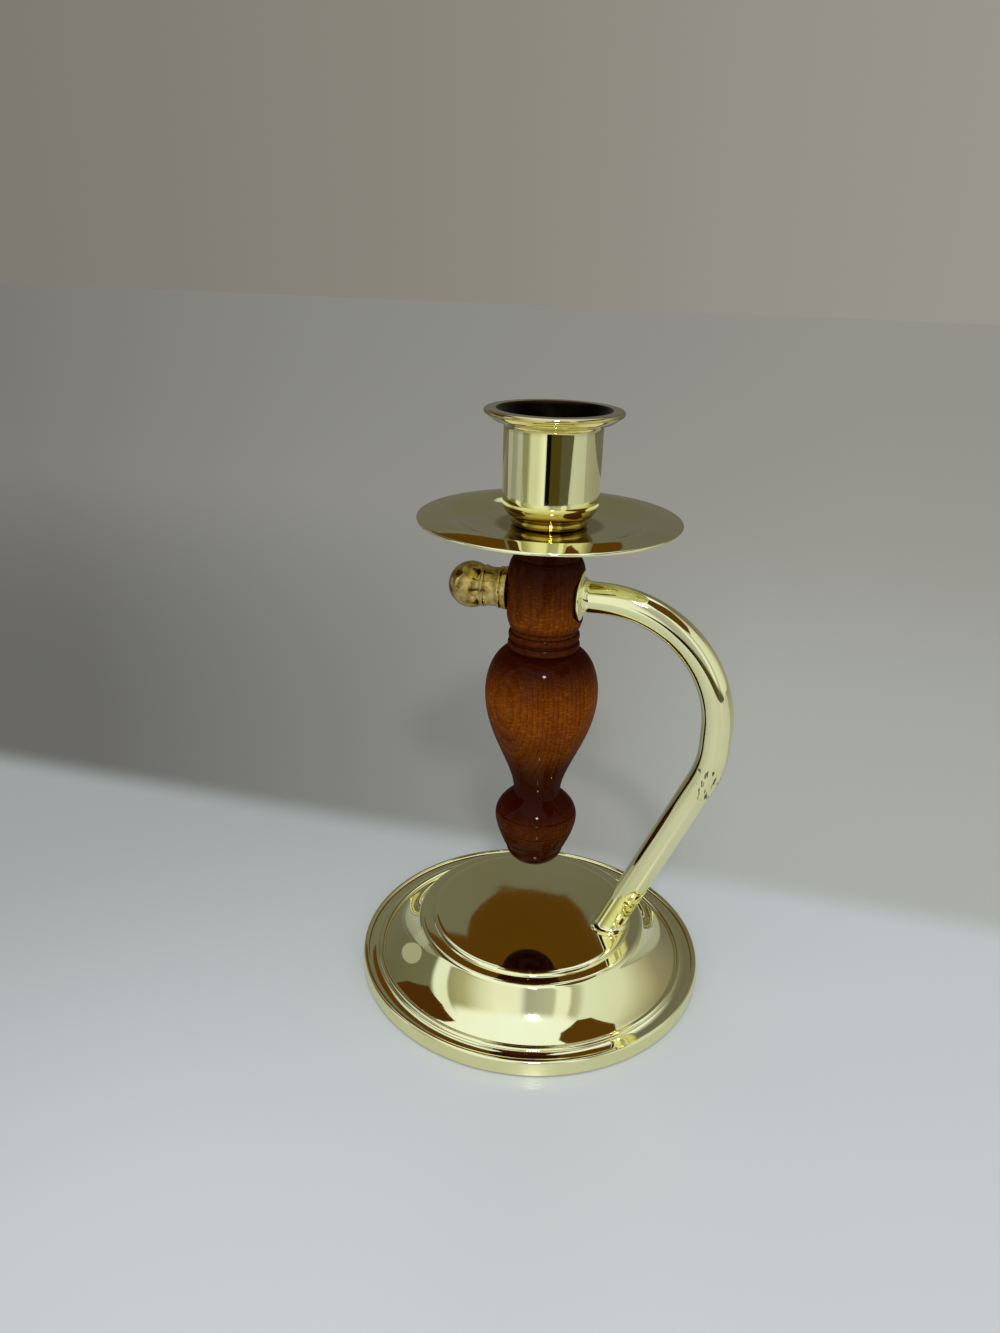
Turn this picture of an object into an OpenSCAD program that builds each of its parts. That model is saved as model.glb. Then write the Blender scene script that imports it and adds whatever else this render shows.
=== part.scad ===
// Gimballed candlestick: a turned wooden stem with a brass cup and drip pan
// swings on a level pivot, between the end of a bent brass arm and a ball
// finial, above a weighted brass base.
// Origin: centre of the base, on the surface it stands on. +Z is up and the
// arm rises on the +X side. The pivot runs along X.

/* [Base] */
// Diameter of the base over its rim band
base_d = 101; // [97:1:112]
// Height of the top disc above the table
base_h = 16.1; // [15:0.1:20]
// Width of the stepped border outside the top disc
border_w = 20.7; // [19:0.1:24]
// Height of the rim band's upper edge
band_h = 4.8; // [4.6:0.1:6]
// Sheet thickness of the spun base
shell_t = 1; // [0.8:0.1:1.1]
// Gap between the brass edge and the table
shell_lift = 0.4; // [0.2:0.1:0.8]
// Width of the disc's rolled edge
disc_roll_w = 2.1; // [1.4:0.1:2.6]
// How far the flat ring round the disc lies below it
disc_step = 0.9; // [0.6:0.1:1.2]
// Width of that ring, up to where the shoulder turns down
ring_w = 2.3; // [1.8:0.1:3]
// Radius of the shoulder
shoulder_r = 2; // [1.4:0.1:2.4]
// Elevation of the skirt's normal where it leaves the shoulder
skirt_start_a = 26.5; // [22:0.5:34]
// Width of the low bead at the foot of the skirt
bead_w = 2; // [1.4:0.1:2.4]
// Height of that bead
bead_h = 0.5; // [0.3:0.05:0.8]
// Width of the shallow cove outside the bead
cove_w = 3.3; // [2.6:0.1:4]
// Depth of that cove
cove_depth = 0.25; // [0.1:0.05:0.35]
// Width of the raised edge outside the cove
edge_w = 1.2; // [1:0.1:1.6]
// Height of that edge above the foot of the skirt
edge_rise = 0.4; // [0.2:0.05:0.6]
// Radius of the rim band's upper edge
band_roll_r = 0.6; // [0.3:0.05:0.8]

/* [Base filling] */
// Thickness of the closing plate, below which the felt fills the rest
plate_t = 2; // [1.5:0.1:2.2]
// Gap round the filling inside the shell
fill_gap = 0.3; // [0.2:0.1:0.6]
// Radius of the pocket in the weight round the arm's screw
pocket_r = 6.5; // [6.2:0.1:8]

/* [Arm] */
// Height of the pivot above the table
pivot_h = 117; // [114:0.5:126]
// Diameter of the arm's rod
arm_d = 8.4; // [7.8:0.1:10]
// Distance from the stem's axis to the arm's upright stretch
arm_reach = 48; // [44:0.5:54]
// Distance from the stem's axis to the start of the upper bend
bend_x = 15; // [13:0.5:18]
// Height of the pivot above the corner that the lower bend rounds
corner_drop = 43.4; // [40:0.2:48]
// Radius of the lower bend
lower_bend_r = 30; // [20:1:36]
// Distance from the axis of the arm's foot out to its screw
screw_shift = 0.9; // [0.5:0.1:1.2]
// Diameter of the flange at the pivot
flange_d = 13.2; // [12.5:0.1:14.4]
// Thickness of the flange's edge
flange_t = 0.7; // [0.5:0.1:1.2]
// Length of the flare behind the flange
flare_l = 2.2; // [1.6:0.1:2.8]
// Diameter of the foot's flare on the disc
foot_d = 11; // [10.4:0.1:11.6]
// Height of the foot's flare
foot_flare_h = 2.2; // [1.6:0.1:3]

/* [Pivot] */
// Diameter of the pivot pin
pin_d = 5; // [4:0.1:5.6]
// How far the pin reaches into the arm and the finial
pin_grip = 5.5; // [4:0.5:6]
// Radial running clearance of the pin in its bushing
running_gap = 0.05; // [0.03:0.01:0.08]
// Radial clearance of threads and glued plugs in their holes
fit_gap = 0.05; // [0.03:0.01:0.08]
// Outside diameter of the bushing
bushing_d = 7; // [6.6:0.1:8]
// Depth of the round flat cut into the barrel on the arm's side
flat_arm_cut = 1.85; // [1.4:0.05:2.4]
// Depth of the round flat cut into the barrel on the finial's side
flat_finial_cut = 0.75; // [0.5:0.05:1.2]
// End play on each side of the stem
end_play = 0.2; // [0.15:0.05:0.4]
// Thickness of a thrust washer
thrust_t = 0.5; // [0.4:0.05:0.8]
// Diameter of a thrust washer
thrust_d = 10; // [8.6:0.2:11]
// Thickness of the cupped brass washer that holds the finial's thrust washer
finial_washer_t = 1.5; // [1.3:0.1:1.9]
// Width of that washer's rim round the thrust washer
finial_washer_rim = 0.8; // [0.6:0.05:1]

/* [Finial] */
// Diameter of the ball
ball_d = 12.6; // [11.8:0.1:14]
// Diameter of the neck's rings
neck_ring_d = 11.4; // [10.8:0.1:11.8]
// Diameter of the neck between its rings
neck_d = 10.8; // [10.2:0.1:11]
// Distance from the washer to the ball's centre
ball_reach = 9.1; // [8.6:0.1:10.4]

/* [Stem] */
// Clearance between the stem's lower end and the base
stem_clear = 18.1; // [14:0.1:26]
// Length of the stem above the pivot
stem_rise = 17.6; // [16.5:0.1:20]
// Diameter of the barrel that holds the pivot
barrel_d = 20.7; // [20.4:0.1:22]
// Diameter of the stem's top
top_d = 17.2; // [16:0.1:18.4]
// Diameter of the upper bead below the barrel
bead_1_d = 19.2; // [18.6:0.1:20]
// Diameter of the lower bead below the barrel
bead_2_d = 19.5; // [18.8:0.1:20.2]
// Largest diameter of the vase
vase_d = 31; // [28:0.2:34]
// Smallest diameter of the neck below the vase
stem_neck_d = 13.3; // [13:0.1:16]
// Diameter of the acorn
acorn_d = 23.3; // [20:0.1:26]
// Diameter at the foot of the acorn's taper
acorn_foot_d = 17.3; // [16.9:0.1:19]
// Diameter of the domed end
dome_d = 16.6; // [15.6:0.1:17.2]
// Height of the domed end
dome_h = 6; // [5:0.1:7]
// Depth of a scored line
score_depth = 0.25; // [0.15:0.05:0.4]

/* [Stem weight] */
// Diameter of the weight in the stem
weight_d = 10.2; // [8:0.1:10.4]
// Distance from the pivot down to the top of the weight
weight_land = 17; // [12:0.5:24]
// Length of the plug below the weight, along the axis
plug_l = 4.6; // [4:0.1:6]

/* [Drip pan] */
// Diameter of the drip pan
pan_d = 68.2; // [62:0.2:72]
// Diameter of the pan's flat centre
pan_flat_d = 37; // [34:0.5:44]
// Width of the rolled rim outside the pan's crest
pan_rim_w = 6; // [4:0.1:7]
// Rise of the pan's crest above its centre
pan_rise = 2.6; // [2:0.1:3]
// How far the pan's edge droops below its crest
pan_droop = 0.7; // [0.4:0.1:1.2]
// Thickness of the pan
pan_t = 0.8; // [0.6:0.1:1]

/* [Candle cup] */
// Inside diameter of the cup, which holds a 7/8 inch candle
cup_bore_d = 23; // [22.6:0.1:24]
// Wall of the cup
cup_wall = 0.9; // [0.8:0.1:1.2]
// Height of the cup
cup_h = 29; // [27:0.5:36]
// Height of the rounded bottom of the cup
cup_bowl_h = 6.6; // [6:0.1:7.4]
// Diameter of the cup's foot on the pan
cup_foot_d = 16.8; // [15.6:0.1:17.8]
// Thickness of the cup's floor
cup_floor_t = 1.1; // [0.9:0.1:1.4]
// How far the lip stands out from the cup's wall
lip_out = 5.1; // [4:0.1:6]
// Height of the lip and its flare
lip_h = 4.5; // [4.2:0.1:5.4]
// Width of the lip's upper face
lip_w = 2.9; // [2.4:0.1:3.2]

/* [Fasteners] */
// Diameter of the screws
screw_d = 4; // [3.4:0.1:4.4]
// Diameter of the screw heads
head_d = 7; // [6.6:0.1:8]
// Height of the screw heads
head_h = 2.4; // [2:0.1:2.8]
// Length of the cup's screw
cup_screw_l = 12; // [9:0.5:13]
// Length of the arm's screw
arm_screw_l = 6; // [5:0.5:6.5]
// Diameter of the washers under the screw heads
washer_d = 8.4; // [8.2:0.1:9.4]
// Gap between the arm's washer and the side of the disc
washer_gap = 0.2; // [0.2:0.1:0.8]
// Thickness of those washers
washer_t = 0.8; // [0.6:0.1:1]

/* [Hidden] */

$fn = 96;
brass = [0.86, 0.80, 0.50];
old_brass = [0.66, 0.52, 0.27];
red_wood = [0.42, 0.15, 0.06];
steel = [0.70, 0.71, 0.72];
iron = [0.25, 0.25, 0.26];
board = [0.45, 0.33, 0.22];
felt_green = [0.10, 0.22, 0.14];
fibre = [0.22, 0.08, 0.05];
// Extra length of a cut past the face it opens on
past = 1;
// Distance over which two solids of one piece run into each other
overlap = 0.2;
// How much larger in radius a straight stretch of rod is than a bend
seam_step = 0.03;
// Steps in a short arc and in a long one
few = 6;
many = 14;

base_r = base_d / 2;
disc_r = base_r - border_w;
arm_r = arm_d / 2;
shell_under = base_h - shell_t;
ring_z = base_h - disc_step;
shoulder_x = disc_r + ring_w;
shoulder_z = ring_z - shoulder_r;
ledge_z = band_h - edge_rise;
ledge_under = ledge_z - shell_t;
ledge_w = bead_w + cove_w + edge_w;
plate_z = ledge_under - plate_t;
skirt_top = [shoulder_x, shoulder_z] + shoulder_r * unit(skirt_start_a);
skirt_foot = [base_r - ledge_w, ledge_z];
skirt_span = skirt_top - skirt_foot;
skirt_r = -(skirt_span * skirt_span) / (2 * skirt_span * unit(skirt_start_a));
skirt_centre = skirt_top + skirt_r * unit(skirt_start_a);
skirt_end_a = atan2(skirt_centre[1] - skirt_foot[1], skirt_centre[0] - skirt_foot[0]);

// The arm's centreline: level, a quarter bend, an upright stretch, a slight
// bend and a straight leaning stretch down to the foot
upper_bend_r = arm_reach - bend_x;
bend_z = pivot_h - upper_bend_r;
arm_screw_x = disc_r - shell_t - washer_d / 2 - washer_gap;
foot_x = arm_screw_x - screw_shift;
corner_z = pivot_h - corner_drop;
arm_lean = atan((arm_reach - foot_x) / (corner_z - base_h));
lower_bend_z = corner_z + lower_bend_r * tan(arm_lean / 2);
lean_l = (arm_reach - foot_x) / sin(arm_lean) - lower_bend_r * tan(arm_lean / 2);
arm_screw_grip = arm_screw_l - washer_t - shell_t;
foot_flare_x = foot_x + foot_flare_h / 4 * tan(arm_lean);

barrel_r = barrel_d / 2;
flat_arm_x = barrel_r - flat_arm_cut;
flat_finial_x = barrel_r - flat_finial_cut;
flange_x = flat_arm_x + end_play + thrust_t;
finial_washer_x = flat_finial_x + end_play;
finial_x = finial_washer_x + finial_washer_t;
spot_arm_d = flange_d + 0.7;
finial_washer_r = thrust_d / 2 + finial_washer_rim;
spot_finial_d = 2 * finial_washer_r + 1;

top_r = top_d / 2;
vase_r = vase_d / 2;
stem_neck_r = stem_neck_d / 2;
acorn_r = acorn_d / 2;
acorn_foot_r = acorn_foot_d / 2;
dome_r = dome_d / 2;
// Heights on the stem, measured from the pivot
stem_top = stem_rise;
barrel_top = 10;
barrel_crown = 3.5;
barrel_belly = -4;
barrel_foot = -10.2;
bead_1_top = -10.5;
bead_1_foot = -12.8;
bead_2_top = -13.1;
bead_2_foot = -15.6;
vase_belly = -28.5;
// Heights on the stem, measured from its lower end
stem_end = base_h + stem_clear - pivot_h;
weight_z = stem_end + plug_l;
weight_l = -weight_land - weight_z;
dome_top = stem_end + dome_h;
acorn_belly = dome_top + 9.4;
acorn_top = acorn_belly + 7.6;
// Diameter left at the bottom of the notches between the turned members
notch_r = min(bead_1_d, bead_2_d) / 2 - 0.6;
// Where the vase's shoulder ellipse would meet the stem's axis side
shoulder_base_r = 8;

pan_r = pan_d / 2;
pan_flat_r = pan_flat_d / 2;
pan_crest_r = pan_r - pan_rim_w;
pan_under = pivot_h + stem_rise;
pan_top = pan_under + pan_t;
cup_r = cup_bore_d / 2 + cup_wall;
cup_top = pan_top + cup_h;
cup_floor = pan_top + cup_floor_t;
// Radius of the ring round the cup's foot
cup_foot_ring_r = 1.2;
lip_r = cup_r + lip_out;
screw_r = screw_d / 2;

// Point at distance 1 from the origin, at an angle
function unit(a) = [cos(a), sin(a)];

// Points along an arc round a centre
function arc(centre, r, from, to, steps) =
    [for (i = [0 : steps]) centre + r * unit(from + (to - from) * i / steps)];

// Points along a quarter of an ellipse, between two angles
function oval(centre, half_w, half_h, from, to, steps) =
    [for (i = [0 : steps])
        let (a = from + (to - from) * i / steps)
        centre + [half_w * cos(a), half_h * sin(a)]];

// A turned bead: half an oval that stands out of the radius at its edges
function bead(r, edge_r, start, end, steps) =
    [for (i = [0 : steps])
        let (a = -90 + 180 * i / steps)
        [edge_r + (r - edge_r) * cos(a), (start + end) / 2 + (end - start) / 2 * sin(a)]];

// The shell's outer line, from the axis over the disc and down to its edge
function base_outline() = concat(
    [[0, base_h]],
    oval([disc_r - disc_roll_w, ring_z], disc_roll_w, disc_step, 90, 0, few),
    arc([shoulder_x, shoulder_z], shoulder_r, 90, skirt_start_a, few),
    arc(skirt_centre, skirt_r, 180 + skirt_start_a, 180 + skirt_end_a, many),
    oval(skirt_foot + [bead_w / 2, 0], bead_w / 2, bead_h, 180, 0, few),
    oval([base_r - edge_w - cove_w / 2, ledge_z], cove_w / 2, cove_depth, 180, 360, few),
    arc([base_r - band_roll_r, band_h - band_roll_r], band_roll_r, 90, 0, few),
    [[base_r, shell_lift]]
);

// The shell's inner line, from its edge back to the axis
function base_inline() = concat(
    [
        [base_r - shell_t, shell_lift],
        [base_r - shell_t, ledge_under],
        [skirt_foot[0], ledge_under]
    ],
    arc(skirt_centre, skirt_r + shell_t, 180 + skirt_end_a, 180 + skirt_start_a, many),
    [
        [shoulder_x, ring_z - shell_t],
        [disc_r - shell_t, ring_z - shell_t],
        [disc_r - shell_t, shell_under],
        [0, shell_under]
    ]
);

// Upper half of the stem's outline, heights from the pivot
function stem_upper() = concat(
    [[0, stem_top], [top_r, stem_top]],
    oval([top_r - 0.4, barrel_crown], barrel_r - top_r + 0.4, barrel_top - barrel_crown, 80, 0, many),
    oval([barrel_r - 2.2, barrel_belly], 2.2, barrel_belly - barrel_foot, 0, -65, many),
    bead(bead_1_d / 2, notch_r, bead_1_top, bead_1_foot, few),
    bead(bead_2_d / 2, notch_r, bead_2_top, bead_2_foot, few)
);

// Vase of the stem: an oval shoulder, then a long hollow flank to the neck
function stem_vase() = concat(
    oval([shoulder_base_r, vase_belly], vase_r - shoulder_base_r, bead_2_foot - vase_belly, 75, 0, many),
    [for (i = [1 : many])
        let (t = 1 - i / many)
        [stem_neck_r + (vase_r - stem_neck_r) * (1 - cos(180 * pow(t, 0.85))) / 2,
         acorn_top + 1 + (vase_belly - acorn_top - 1) * t]]
);

// Radius of the acorn above its widest place, at a height from the pivot
function cap_r(z) =
    stem_neck_r + (acorn_r - stem_neck_r) * cos(90 * pow((z - acorn_belly) / (acorn_top - acorn_belly), 1.2));

// Radius of the acorn's taper below its widest place
function taper_r(z) =
    acorn_r - (acorn_r - acorn_foot_r) * pow((acorn_belly - z) / (acorn_belly - dome_top - 0.3), 1.5);

// Acorn and dome at the lower end of the stem
function stem_acorn() = concat(
    [for (i = [0 : many])
        let (t = 1 - i / many)
        let (z = acorn_belly + (acorn_top - acorn_belly) * t)
        [cap_r(z), z]],
    [for (i = [1 : many])
        let (t = i / many)
        let (z = acorn_belly + (dome_top + 0.3 - acorn_belly) * t)
        [taper_r(z), z]],
    oval([0, dome_top], dome_r, dome_h, 0, -90, many)
);

// A flare round the Z axis: a short straight edge, then a hollow curve to a
// smaller radius
module flare(edge_r, edge_h, rod_r, h) {
    rotate_extrude()
        polygon(concat(
            [[0, 0], [edge_r, 0], [edge_r, edge_h]],
            [for (i = [1 : few])
                let (a = 90 * i / few)
                [rod_r + (edge_r - rod_r) * (1 - sin(a)), edge_h + (h - edge_h) * (1 - cos(a))]],
            [[0, h]]
        ));
}

// A ring round the Z axis
module ring(outer_r, inner_r, h) {
    difference() {
        cylinder(r = outer_r, h = h);
        translate([0, 0, -past])
            cylinder(r = inner_r, h = h + 2 * past);
    }
}

// Turns a shape that stands on the XY plane so that it runs along +X
module along_x() {
    rotate([0, 90, 0])
        children();
}

// Pan-head screw, head down at the origin, shank up
module screw(length) {
    translate([0, 0, -head_h])
        rotate_extrude()
            polygon(concat(
                [[0, 0]],
                arc([head_d / 2 - head_h / 2, head_h / 2], head_h / 2, -90, 0, few),
                [[head_d / 2, head_h], [screw_r, head_h], [screw_r, head_h + length], [0, head_h + length]]
            ));
}

module base_shell() {
    color(brass)
        difference() {
            rotate_extrude()
                polygon(concat(base_outline(), base_inline()));
            translate([arm_screw_x, 0, shell_under - past])
                cylinder(r = screw_r + fit_gap, h = shell_t + 2 * past);
        }
}

module base_weight() {
    color(iron)
        difference() {
            translate([0, 0, ledge_under])
                cylinder(r = disc_r - shell_t - fill_gap, h = shell_under - ledge_under);
            translate([arm_screw_x, 0, ledge_under - past])
                cylinder(r = pocket_r, h = base_h);
        }
}

module base_plate() {
    color(board)
        translate([0, 0, plate_z])
            cylinder(r = base_r - shell_t - fill_gap, h = plate_t);
}

module felt_pad() {
    color(felt_green)
        cylinder(r = base_r - shell_t - fill_gap, h = plate_z);
}

// The arm's rod without its flares. The straight stretches take in the ends
// of the bends.
module arm_rod() {
    straight_r = arm_r + seam_step;
    translate([flange_x, 0, pivot_h])
        along_x()
            cylinder(r = straight_r, h = bend_x - flange_x + overlap);
    translate([bend_x, 0, bend_z])
        rotate([90, 0, 0])
            rotate_extrude(angle = 90)
                translate([upper_bend_r, 0])
                    circle(r = arm_r);
    translate([arm_reach, 0, lower_bend_z - overlap])
        cylinder(r = straight_r, h = bend_z - lower_bend_z + 2 * overlap);
    translate([arm_reach - lower_bend_r, 0, lower_bend_z])
        rotate([90, 0, 0])
            rotate([0, 0, -arm_lean])
                rotate_extrude(angle = arm_lean)
                    translate([lower_bend_r, 0])
                        circle(r = arm_r);
    translate([foot_x, 0, base_h])
        rotate([0, arm_lean, 0])
            translate([0, 0, -arm_d])
                cylinder(r = straight_r, h = lean_l + arm_d + overlap);
}

module arm() {
    color(brass)
        difference() {
            union() {
                arm_rod();
                translate([flange_x, 0, pivot_h])
                    along_x()
                        flare(flange_d / 2, flange_t, arm_r, flange_t + flare_l);
                translate([foot_flare_x, 0, base_h])
                    flare(foot_d / 2, flange_t, arm_r, foot_flare_h);
            }
            translate([foot_x, 0, base_h - 2 * arm_d])
                cylinder(r = 2 * arm_d, h = 2 * arm_d);
            translate([flange_x - past, 0, pivot_h])
                along_x()
                    cylinder(r = pin_d / 2 + fit_gap, h = pin_grip + overlap + past);
            translate([arm_screw_x, 0, base_h - past])
                cylinder(r = screw_r + fit_gap, h = arm_screw_grip + overlap + past);
        }
}

module arm_screw() {
    color(steel)
        translate([arm_screw_x, 0, shell_under - washer_t])
            screw(arm_screw_l);
}

module arm_washer() {
    color(steel)
        translate([arm_screw_x, 0, shell_under - washer_t])
            ring(washer_d / 2, screw_r + fit_gap, washer_t);
}

module pivot_pin() {
    color(steel)
        translate([-finial_x - pin_grip, 0, pivot_h])
            along_x()
                cylinder(r = pin_d / 2, h = finial_x + flange_x + 2 * pin_grip);
}

module thrust_washer_arm() {
    color(fibre)
        translate([flange_x - thrust_t, 0, pivot_h])
            along_x()
                ring(thrust_d / 2, pin_d / 2 + fit_gap, thrust_t);
}

module thrust_washer_finial() {
    color(fibre)
        translate([-finial_washer_x - thrust_t, 0, pivot_h])
            along_x()
                ring(thrust_d / 2, pin_d / 2 + fit_gap, thrust_t);
}

// A cupped washer, whose recess holds the thrust washer
module finial_washer() {
    color(old_brass)
        translate([-finial_x, 0, pivot_h])
            along_x()
                difference() {
                    ring(finial_washer_r, pin_d / 2 + fit_gap, finial_washer_t);
                    translate([0, 0, finial_washer_t - thrust_t])
                        cylinder(r = thrust_d / 2 + fit_gap, h = thrust_t + past);
                }
}

// The finial stands on the washer's outer face and points along -X
module finial() {
    ring_r = neck_ring_d / 2;
    waist_r = neck_d / 2;
    ball_r = ball_d / 2;
    // The ball's surface starts where it leaves the last groove
    groove_a = asin(min(waist_r, ball_r - overlap) / ball_r) - 180;
    neck_l = ball_reach + ball_r * cos(groove_a);
    ring_w = 1.1;
    color(old_brass)
        translate([-finial_x, 0, pivot_h])
            rotate([0, -90, 0])
                difference() {
                    rotate_extrude()
                        polygon(concat(
                            [[0, 0], [waist_r, 0]],
                            bead(ring_r, waist_r, 0.2, 0.2 + ring_w, few),
                            bead(waist_r - 0.15, waist_r, 0.4 + ring_w, neck_l - ring_w - 0.3, few),
                            bead(ring_r, waist_r, neck_l - ring_w - 0.1, neck_l - 0.1, few),
                            [for (i = [0 : many])
                                let (a = groove_a + (0 - groove_a) * i / many)
                                [-ball_r * sin(a), ball_reach + ball_r * cos(a)]]
                        ));
                    translate([0, 0, -past])
                        cylinder(r = pin_d / 2 + fit_gap, h = pin_grip + overlap + past);
                }
}

// The stem turned in one piece, before it is drilled
module stem_turning() {
    translate([0, 0, pivot_h])
        rotate_extrude()
            polygon(concat(stem_upper(), stem_vase(), stem_acorn()));
}

// A scored line round the stem, at a height from the pivot
module score(r, z) {
    translate([0, 0, pivot_h + z])
        rotate_extrude()
            polygon([
                [r - score_depth, 0],
                [r + past, -past - score_depth],
                [r + past, past + score_depth]
            ]);
}

module stem() {
    color(red_wood)
        difference() {
            stem_turning();
            score(cap_r(acorn_belly + 2.4), acorn_belly + 2.4);
            score(taper_r(acorn_belly - 2.6), acorn_belly - 2.6);
            score(taper_r(dome_top + 2.2), dome_top + 2.2);
            translate([flat_arm_x, 0, pivot_h])
                along_x()
                    cylinder(r = spot_arm_d / 2, h = barrel_d);
            translate([-flat_finial_x - barrel_d, 0, pivot_h])
                along_x()
                    cylinder(r = spot_finial_d / 2, h = barrel_d);
            translate([-barrel_d, 0, pivot_h])
                along_x()
                    cylinder(r = bushing_d / 2 + fit_gap, h = 2 * barrel_d);
            translate([0, 0, pivot_h + stem_end - past])
                cylinder(r = weight_d / 2 + fit_gap, h = plug_l + weight_l + past + overlap);
            translate([0, 0, cup_floor + washer_t - cup_screw_l - overlap])
                cylinder(r = screw_r + fit_gap, h = cup_screw_l + past);
        }
}

module pivot_bushing() {
    color(brass)
        translate([-flat_finial_x, 0, pivot_h])
            along_x()
                ring(bushing_d / 2, pin_d / 2 + running_gap, flat_finial_x + flat_arm_x);
}

module stem_weight() {
    color(iron)
        translate([0, 0, pivot_h + weight_z])
            cylinder(r = weight_d / 2, h = weight_l);
}

module stem_plug() {
    color(red_wood)
        intersection() {
            stem_turning();
            translate([0, 0, pivot_h + stem_end - past])
                cylinder(r = weight_d / 2, h = plug_l + past);
        }
}

// Points of the pan's dish at a height above its underside, from the flat
// centre over the crest to the drooping rim
function pan_line(h) = concat(
    [for (i = [0 : few])
        [pan_flat_r + (pan_crest_r - pan_flat_r) * i / few, h + pan_rise * (1 - cos(180 * i / few)) / 2]],
    [for (i = [1 : few])
        [pan_crest_r + (pan_rim_w - pan_t / 2) * i / few, h + pan_rise - pan_droop * (1 - cos(90 * i / few))]]
);

module drip_pan() {
    edge_r = pan_t / 2;
    upper = pan_line(pan_t);
    color(brass)
        translate([0, 0, pan_under])
            difference() {
                rotate_extrude()
                    polygon(concat(
                        [[0, 0]],
                        pan_line(0),
                        arc([pan_r - edge_r, pan_rise - pan_droop + edge_r], edge_r, -60, 60, 4),
                        [for (i = [len(upper) - 1 : -1 : 0]) upper[i]],
                        [[0, pan_t]]
                    ));
                translate([0, 0, -past])
                    cylinder(r = screw_r + fit_gap, h = pan_t + 2 * past);
            }
}

// Outer line of the cup, from the axis at its foot to the lip's upper face
function cup_outline() = concat(
    [[0, 0], [cup_foot_d / 2, 0]],
    arc([cup_foot_d / 2 + 0.3, cup_foot_ring_r], cup_foot_ring_r, -80, 60, few),
    oval([cup_r - 3, cup_bowl_h], 3, cup_bowl_h - 2 * cup_foot_ring_r, -80, 0, few + 2),
    [[cup_r, cup_h - lip_h]],
    [for (i = [1 : few])
        let (a = 90 * i / few)
        [cup_r + lip_out / 2 * (1 - cos(a)), cup_h - lip_h + 1.7 * sin(a)]],
    arc([lip_r - 0.7, cup_h - 0.7], 0.7, -40, 90, few),
    arc([lip_r - lip_w, cup_h - 0.5], 0.5, 90, 150, few)
);

// Inner line of the cup, from the funnel down to the floor
function cup_inline() = [
    [cup_bore_d / 2, cup_h - lip_h + 0.4],
    [cup_bore_d / 2, cup_bowl_h],
    [cup_foot_d / 2 - cup_wall, cup_floor_t],
    [0, cup_floor_t]
];

module candle_cup() {
    color(brass)
        translate([0, 0, pan_top])
            difference() {
                rotate_extrude()
                    polygon(concat(cup_outline(), cup_inline()));
                translate([0, 0, -past])
                    cylinder(r = screw_r + fit_gap, h = cup_floor_t + 2 * past);
            }
}

module cup_washer() {
    color(steel)
        translate([0, 0, cup_floor])
            ring(washer_d / 2, screw_r + fit_gap, washer_t);
}

module cup_screw() {
    color(steel)
        translate([0, 0, cup_floor + washer_t])
            mirror([0, 0, 1])
                screw(cup_screw_l);
}

base_shell();
base_weight();
base_plate();
felt_pad();
arm();
arm_screw();
arm_washer();
pivot_pin();
thrust_washer_arm();
thrust_washer_finial();
finial_washer();
finial();
stem();
pivot_bushing();
stem_weight();
stem_plug();
drip_pan();
candle_cup();
cup_washer();
cup_screw();
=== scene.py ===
import math

import bmesh
import bpy
from mathutils import Matrix, Vector


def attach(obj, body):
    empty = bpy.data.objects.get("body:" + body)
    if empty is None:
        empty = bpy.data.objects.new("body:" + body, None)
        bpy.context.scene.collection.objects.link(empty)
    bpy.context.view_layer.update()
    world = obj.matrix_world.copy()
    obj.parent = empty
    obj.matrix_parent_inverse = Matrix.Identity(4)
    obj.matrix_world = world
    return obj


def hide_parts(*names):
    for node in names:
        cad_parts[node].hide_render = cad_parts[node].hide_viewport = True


# Gimballed candlestick: spun and lacquered brass base, bent brass arm, turned
# and stained hardwood stem with a brass drip pan and candle cup on top.
# Lengths are written in millimetres, as on a shop drawing, and scaled once.
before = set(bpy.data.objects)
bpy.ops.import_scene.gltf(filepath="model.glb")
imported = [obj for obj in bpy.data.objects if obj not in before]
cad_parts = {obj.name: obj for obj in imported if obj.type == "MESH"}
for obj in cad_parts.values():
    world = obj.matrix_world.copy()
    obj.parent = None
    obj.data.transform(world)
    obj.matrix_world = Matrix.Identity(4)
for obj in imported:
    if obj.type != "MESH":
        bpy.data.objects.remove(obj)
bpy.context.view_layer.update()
scene = bpy.context.scene
MM = 0.001

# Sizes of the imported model, which the pieces follow

base_r = 50.5
base_h = 16.1
disc_r = 29.8
disc_roll_w = 2.1
ring_z = 15.2
shoulder_x = 32.1
shoulder_r = 2.0
skirt_start_a = 26.5
skirt_foot_r = 44.0
bead_w = 2.0
bead_h = 0.5
cove_w = 3.3
cove_depth = 0.25
ledge_z = 4.4
band_h = 4.8
band_roll_r = 0.6
edge_break = 0.12
shell_t = 1.0
shell_lift = 0.4

pivot_h = 117.0
arm_r = 4.2
arm_reach = 48.0
bend_x = 15.0
corner_drop = 43.4
lower_bend_r = 30.0
foot_x = 23.5
foot_r = 5.5
foot_flare_h = 2.2
flange_x = 9.2
flange_r = 6.6
flange_t = 0.7
flare_l = 2.2
pin_r = 2.5
pin_grip = 5.5
bore_room = 0.05

finial_washer_x = 9.8
finial_x = 11.3
washer_r = 5.8
washer_recess_r = 5.05
thrust_t = 0.5
ball_r = 6.3
ball_reach = 9.1
neck_ring_r = 5.7
neck_r = 5.4

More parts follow.
